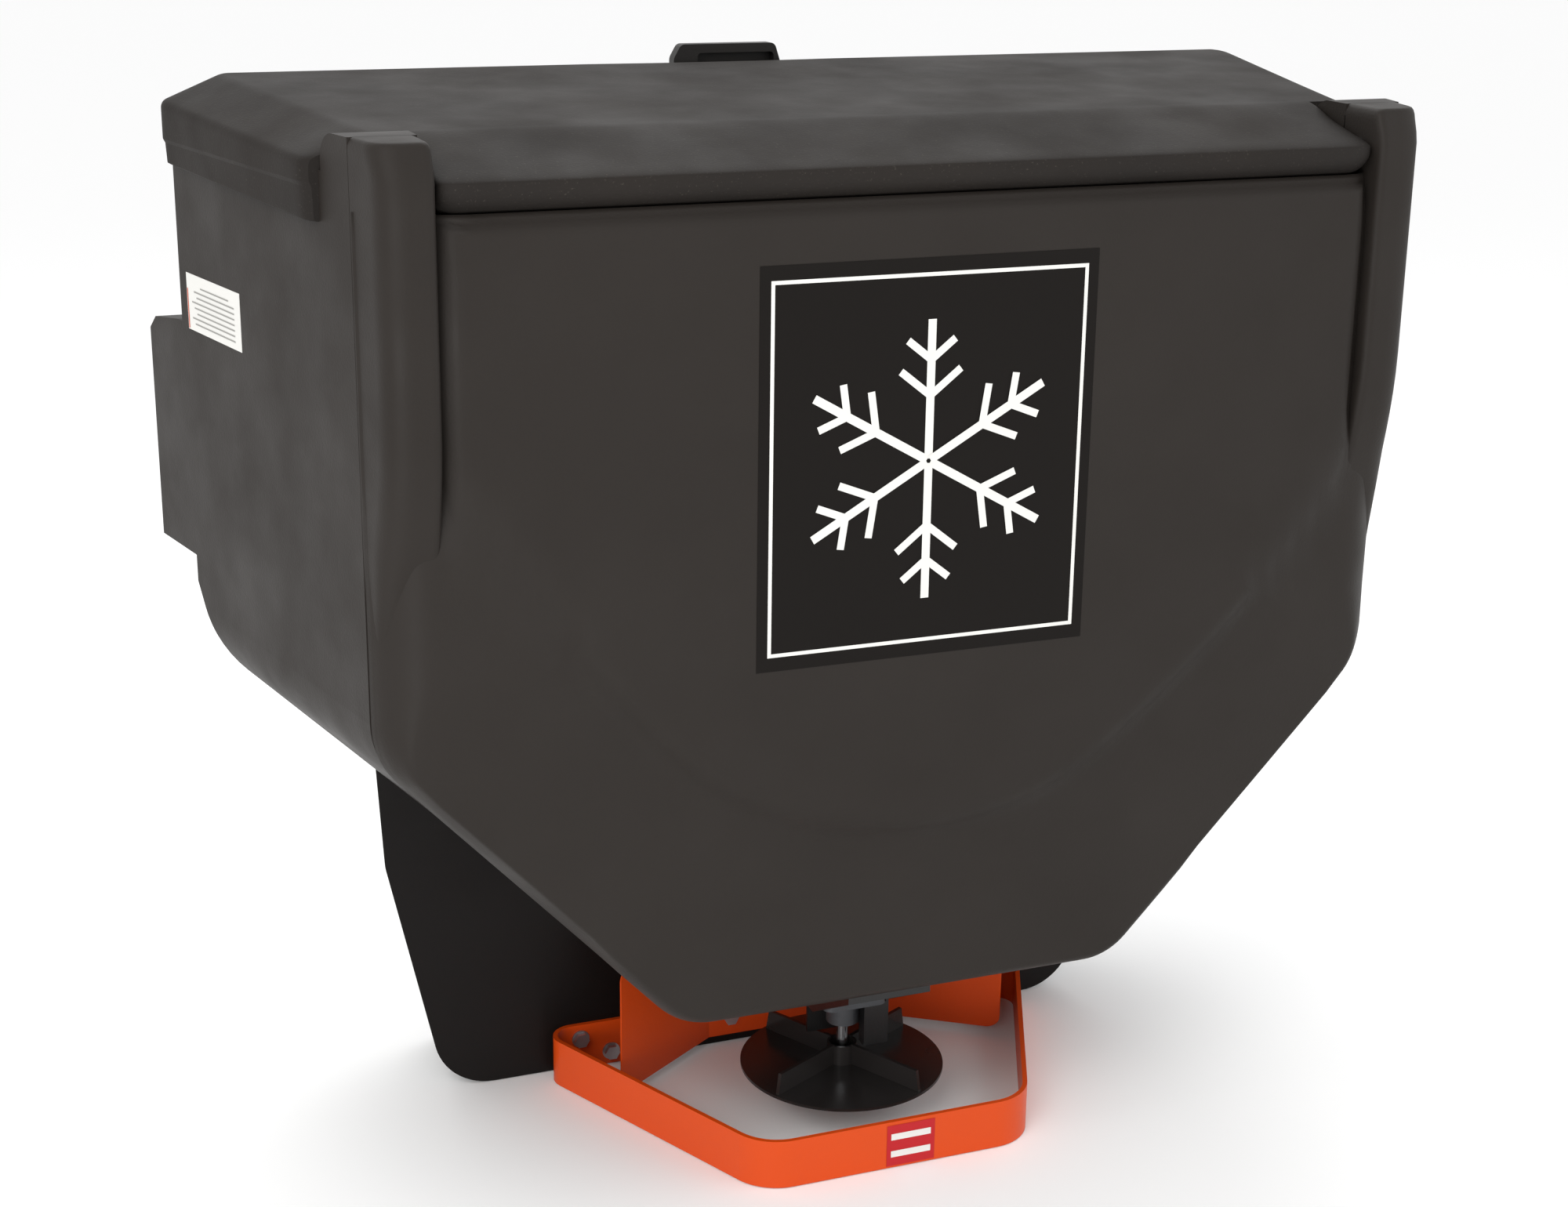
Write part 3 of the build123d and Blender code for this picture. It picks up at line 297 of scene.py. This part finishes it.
def front_depth(x, z):
    """Depth of the front moulding's face."""
    e = outside_field(x, z)
    fall = 0.035 * (sqrt(max(e, 0.0) ** 2 + 0.012 ** 2) - 0.012) + 0.012 * smooth(e / 0.024)
    lip = 0.010 * smooth((z - 0.955) / 0.017)
    side = 0.012 * smooth((abs(x) - 0.434) / 0.014) * smooth((z - 0.69) / 0.06)
    return fall + lip + side


def outline(inset, top):
    """Rounded front-view outline of the hopper, moved in by inset, from upper left round to upper right."""
    w = half(SEAM) - inset
    k = inset * tan(radians(22.5))
    foot = half(SEAM) - 0.280 - k
    low = 0.190 + inset
    points = [(-w, top), (-w, 0.490 + k), (-foot, low), (foot, low), (w, 0.490 + k), (w, top)]
    radii = [max(0.012, 0.085 - inset), max(0.012, 0.07 - inset)]
    return rounded(points, [radii[0], radii[1], radii[1], radii[0]], arc=9)


SIDE_ROLL, SLOPE_ROLL = 0.048, 0.016
FRONT_WALL = 0.005


def rim(part, top):
    """Outline part of the way round the rolled edge, which is wider up the sides than on the slopes."""
    out = []
    for (x0, z0), (x1, z1) in zip(outline(SLOPE_ROLL * part, top), outline(SIDE_ROLL * part, top)):
        w = smooth((z0 - 0.45) / 0.12)
        out.append((x0 + (x1 - x0) * w, z0 + (z1 - z0) * w))
    return out


def front_moulding():
    """Front shell: flat field with its soft foot, rolled outer edge and hidden return at the seam."""
    top = 0.972
    rows = []
    for inset, y in ((0.004, SEAM + 0.001), (0.0025, SEAM - 0.0015), (0.0, SEAM - 0.006)):
        rows.append([(x, y, z) for x, z in outline(inset, top)])
    for i in range(1, 13):
        part = 1 - cos(i / 12 * pi / 2)
        row = []
        for x, z in rim(part, top):
            base = front_depth(x, z)
            y = SEAM - 0.006 - (SEAM - 0.006 - base) * sqrt(max(0.0, 1 - (1 - part) ** 2))
            row.append((x + (FLARE * (y - SEAM) * (1 if x > 0 else -1) * smooth(1 - part)
                             if abs(x) > 0.3 else 0), y, z))
        rows.append(row)
    last = rim(1.0, top)
    centre = (0.0, 0.72)
    for i in range(1, 64):
        t = i / 64
        row = []
        for x, z in last:
            cz = min(top, centre[1] + (z - centre[1]))
            px, pz = x * (1 - t), centre[1] + (cz - centre[1]) * (1 - t)
            row.append((px, front_depth(px, pz), pz))
        rows.append(row)
    verts, faces = grid(rows)
    # the triangle left open above the centre is filled by a fan of rows up to the top edge
    left = [(r[0][0], r[0][1], r[0][2]) for r in rows[14:]]
    right = [(r[-1][0], r[-1][1], r[-1][2]) for r in rows[14:]]
    fill = []
    for j in range(len(left)):
        a, b = left[j], right[j]
        fill.append([(a[0] + (b[0] - a[0]) * k / 48, 0.0, a[2]) for k in range(49)])
    fill = [[(x, front_depth(x, z), z) for x, y, z in row] for row in fill]
    fv, ff = grid(fill)
    base = len(verts)
    verts += fv
    faces += [tuple(base + i for i in f) for f in ff]
    obj = make("front_moulding", verts, faces, "hopper_plastic", "chassis", ("front_shell",), sharp=60)
    thicken(obj, FRONT_WALL)


def column(side):
    """Corner column, fading into the front moulding below, with a rounded top."""
    rows = []
    heights = [0.54 + 0.02 * i for i in range(24)] + [1.010, 1.016, 1.021, 1.0255, 1.029, 1.0312, 1.032]
    for z in heights:
        rise = max(0.0, z - 1.024) / 0.008
        tuck = 0.005 * (1 - sqrt(max(0.0, 1 - rise * rise)))
        y0 = -0.006 + 0.046 * smooth((0.80 - z) / 0.26) + tuck + 0.010 * smooth((z - 1.0) / 0.03)
        inner, outer = 0.448 + tuck, half(SEAM) - tuck - 0.003 * smooth((0.68 - z) / 0.13)
        front_out = outer + FLARE * (y0 - SEAM)
        shape = [(inner, SEAM + 0.001), (inner, y0), (front_out, y0), (outer, SEAM + 0.001)]
        rows.append([(side * x, y, z) for x, y in rounded(shape, [0.008, 0.046], arc=10)])
    verts, faces = grid(rows)
    n = len(rows[0])
    last = len(verts) - n
    faces.append(tuple(range(last, last + n)))
    name = "column_left" if side < 0 else "column_right"
    return make(name, verts, faces, "hopper_plastic", "chassis", sharp=45)


# ---------------------------------------------------------------- lid

LID_WALL = 0.0045
LID_OVERHANG = 0.014     # the lid's skirt stands this far outside the hopper's side walls
CHAMFER = 0.057          # width of the slanted strip along each side of the lid
GASKET_TOP = 1.012       # the lid's rear wall ends here, on the gasket


def lid_top(y):
    """Height of the lid's top at depth y."""
    return 1.028 + 0.062 * (y - 0.12)


def lid_skin():
    """Wide part of the lid: skirt, crisp ridge, chamfer and top, rounded at its corners."""
    rows = []
    depths = [0.1175, 0.119, 0.123, 0.129] + [0.129 + 0.305 * i / 24 for i in range(1, 25)]
    depths += [0.443, 0.450, 0.456, 0.460, 0.463, 0.4645]
    for y in depths:
        w = half(y) + LID_OVERHANG
        front, rear = max(0.0, 0.129 - y), max(0.0, y - 0.438)
        tuck = 0.010 * (1 - sqrt(max(0.0, 1 - (front / 0.0125) ** 2)))
        tuck += 0.028 * (1 - sqrt(max(0.0, 1 - (rear / 0.0275) ** 2)))
        drop = 0.004 * (1 - sqrt(max(0.0, 1 - (max(0.0, y - 0.452) / 0.0135) ** 2)))
        top = lid_top(y) - drop
        low, ridge = 0.955 + 0.034 * (y - 0.111), 0.988 + 0.004 * (y - 0.11)
        knee = 1.006 + 0.052 * (y - 0.092)
        w -= tuck
        side = [(w - CHAMFER, top), (w, knee - drop), (w, ridge + 0.001), (w - 0.002, ridge - 0.003),
                (w - 0.003, low + 0.001), (w - 0.006, low)]
        points = [(-x, z) for x, z in reversed(side)] + side
        radii = [0.002, 0.001, 0.001, 0.010, 0.03, 0.03, 0.010, 0.001, 0.001, 0.002]
        row = []
        for x, z in rounded(points, radii, arc=6):
            notch = smooth((x + 0.103) / 0.014) * smooth((0.056 - x) / 0.014)
            row.append((x, y - 0.006 * notch * smooth((y - 0.43) / 0.03), z))
        rows.append(row)
    verts, faces = grid(rows)
    n = len(rows[0])
    faces.append(tuple(range(n)))
    # rear wall, down to the gasket on the hopper's rim
    faces.append(tuple(len(verts) - n + i for i, p in enumerate(rows[-1]) if p[2] > GASKET_TOP))
    obj = make("lid_skin", verts, faces, "lid_plastic", "lid_body", ("lid",), sharp=28)
    thicken(obj, LID_WALL)


NOSE = [(0.124, 1.0284), (0.112, 1.0276), (0.098, 1.0250), (0.078, 1.0200), (0.060, 1.0156), (0.040, 1.0108),
        (0.020, 1.0060), (0.006, 1.0026), (-0.0020, 0.9997), (-0.0034, 0.9970), (-0.0028, 0.990),
        (0.001, 0.983), (0.008, 0.9765), (0.020, 0.970), (0.036, 0.967), (0.055, 0.970), (0.072, 0.978),
        (0.090, 0.984), (0.124, 0.986)]


def lid_nose():
    """Rolled front edge of the lid between the columns, its ends rounded."""
    profile = [(p.x, p.y) for p in curve(NOSE, 4)]
    reach, turn = 0.4455, 0.026
    xs = [turn * (1 - cos(i / 10 * pi / 2)) for i in range(11)]
    xs = [-reach + x for x in xs] + [-reach + turn + (2 * reach - 2 * turn) * i / 40 for i in range(1, 40)]
    xs += [-x for x in reversed(xs[:11])]
    rows = []
    for x in xs:
        d = max(0.0, abs(x) - (reach - turn)) / turn
        k = 1 - 0.30 * (1 - sqrt(max(0.0, 1 - d * d)))
        row = []
        for y, z in profile:
            f = k + (1 - k) * smooth((y - 0.07) / 0.05) * (1 if z > 1.0 else 0.6)
            cy, cz = 0.046, 0.994
            row.append((x, cy + (y - cy) * f, cz + (z - cz) * f))
        rows.append(row)
    verts, faces = grid(rows)
    n = len(profile)
    faces.append(tuple(range(n)))
    faces.append(tuple(range(len(verts) - n, len(verts))))
    return make("lid_nose", verts, faces, "lid_plastic", "lid_body", sharp=38)


front_moulding()
column(-1)
column(1)
lid_skin()
lid_nose()


# ---------------------------------------------------------------- generic markings

def flat(name, polys, slot, y=-0.0006, body="chassis"):
    """Thin marks lying just in front of the plane of the front field."""
    verts, faces = [], []
    for k, poly in enumerate(polys):
        faces.append(tuple(range(len(verts), len(verts) + len(poly))))
        verts += [(x, y - 0.00002 * k, z) for x, z in poly]
    return make(name, verts, faces, slot, body)


def bar(x0, z0, x1, z1, width):
    """Straight stroke as a four-cornered outline."""
    d = Vector((x1 - x0, z1 - z0)).normalized() * (width / 2)
    n = Vector((-d.y, d.x))
    return [(x0 - n.x - d.x, z0 - n.y - d.y), (x1 - n.x + d.x, z1 - n.y + d.y),
            (x1 + n.x + d.x, z1 + n.y + d.y), (x0 + n.x - d.x, z0 + n.y - d.y)]


def front_marks():
    """Plain border and a plain six-armed snow crystal."""
    x0, x1, z0, z1, t = -0.155, 0.148, 0.565, 0.903, 0.0035
    marks = [bar(x0, z0, x1, z0, t), bar(x0, z1, x1, z1, t), bar(x0, z0, x0, z1, t), bar(x1, z0, x1, z1, t)]
    cx, cz, reach = -0.0035, 0.734, 0.125
    for k in range(6):
        a = radians(90 + 60 * k)
        ux, uz = cos(a), sin(a)
        marks.append(bar(cx + 0.006 * ux, cz + 0.006 * uz, cx + reach * ux, cz + reach * uz, 0.008))
        for f, r in ((0.48, 0.034), (0.74, 0.026)):
            px, pz = cx + reach * f * ux, cz + reach * f * uz
            for turn in (-0.9, 0.9):
                marks.append(bar(px, pz, px + r * cos(a + turn), pz + r * sin(a + turn), 0.007))
    return flat("front_marks", marks, "label_film")


front_marks()


def guard_patch():
    """Wordless red and white patch on the guard's front bar."""
    y = 0.0284 - 0.0004
    corners = [(-0.012, y, 0.002), (0.040, y, 0.002), (0.040, y, 0.047), (-0.012, y, 0.047)]
    make("guard_patch", corners, [(0, 1, 2, 3)], "patch_red", "chassis")
    y -= 0.0002
    rows = [bar(-0.004, 0.034, 0.032, 0.034, 0.007), bar(-0.004, 0.015, 0.032, 0.015, 0.007)]
    return flat("guard_patch_bars", rows, "label_film", y)


guard_patch()


def on_wall(y, z, out):
    """Point on the left side wall, standing out by a little."""
    return (-half(y) - out, y, z)


def side_marks():
    """Plain rules and an orange edge on the small plate at the left."""
    verts, faces = [], []
    for row in range(8):
        z = 0.8525 - 0.0052 * row
        y0, y1 = (0.335, 0.405) if row == 0 else (0.322, 0.428 - 0.006 * (row % 3))
        faces.append(tuple(range(len(verts), len(verts) + 4)))
        verts += [on_wall(y, zz, 0.0007) for y, zz in ((y0, z), (y1, z), (y1, z - 0.0014), (y0, z - 0.0014))]
    make("side_rules", verts, faces, "rule_grey", "chassis")
    corners = ((0.4375, 0.809), (0.4395, 0.809), (0.4395, 0.848), (0.4375, 0.848))
    edge = [on_wall(y, z, 0.0007) for y, z in corners]
    make("side_edge", edge, [(0, 1, 2, 3)], "orange_coat", "chassis")


side_marks()


# ---------------------------------------------------------------- camera, light and floor

def camera():
    """The camera, at the angle of the reference view."""
    yaw, pitch, roll = 0.3663, -0.3003, 0.0098
    look = Vector((sin(yaw) * cos(pitch), cos(yaw) * cos(pitch), sin(pitch)))
    right = Vector((cos(yaw), -sin(yaw), 0))
    up = right.cross(look)
    r = right * cos(roll) + up * sin(roll)
    u = up * cos(roll) - right * sin(roll)
    data = bpy.data.cameras.new("camera")
    data.sensor_width = 36.0
    data.lens = 3095.35 / 2000 * 36.0
    data.shift_x = (1000 - 965.1) / 2000
    data.shift_y = (748.9 - 770) / 2000
    data.clip_start, data.clip_end = 0.05, 60
    cam = bpy.data.objects.new("camera", data)
    cam.matrix_world = Matrix(((r.x, u.x, -look.x, -0.9050), (r.y, u.y, -look.y, -1.9228 - BACK),
                               (r.z, u.z, -look.z, 1.2693), (0, 0, 0, 1)))
    bpy.context.scene.collection.objects.link(cam)
    bpy.context.scene.camera = cam


def light(name, where, target, width, power, colour=(1, 1, 1)):
    """Soft rectangular light aimed at target."""
    data = bpy.data.lights.new(name, "AREA")
    data.shape, data.energy, data.color = "RECTANGLE", power, colour
    data.size, data.size_y = width
    obj = bpy.data.objects.new(name, data)
    obj.location = where
    obj.rotation_euler = (Vector(target) - Vector(where)).to_track_quat("-Z", "Y").to_euler()
    bpy.context.scene.collection.objects.link(obj)


camera()
light("key", (-2.4, -2.6, 3.0), (0, 0, 0.6), (2.2, 2.2), 52, (1.0, 0.985, 0.96))
light("fill", (2.8, -2.2, 1.6), (0, 0, 0.5), (2.4, 2.4), 16, (0.96, 0.98, 1.0))
light("top", (0.2, 1.4, 3.2), (0, 0, 0.9), (3.0, 2.0), 36)
light("low", (-1.5, -2.2, 0.4), (0.2, 0, 0.1), (1.2, 0.5), 12)
world = bpy.data.worlds.new("studio")
world.use_nodes = True
world.node_tree.nodes["Background"].inputs["Color"].default_value = (1, 1, 1, 1)
world.node_tree.nodes["Background"].inputs["Strength"].default_value = 1.0
bpy.context.scene.world = world
bpy.context.scene.view_settings.view_transform = "Standard"

floor_mesh = bpy.data.meshes.new("floor")
floor_mesh.from_pydata([(-30, -30, 0), (30, -30, 0), (30, 30, 0), (-30, 30, 0)], [], [(0, 1, 2, 3)])
floor = bpy.data.objects.new("floor", floor_mesh)
floor.location.z = -0.001
bpy.context.scene.collection.objects.link(floor)
floor.data.materials.append(material("floor", "#fbfbfb", 0.9, rough_vary=0))
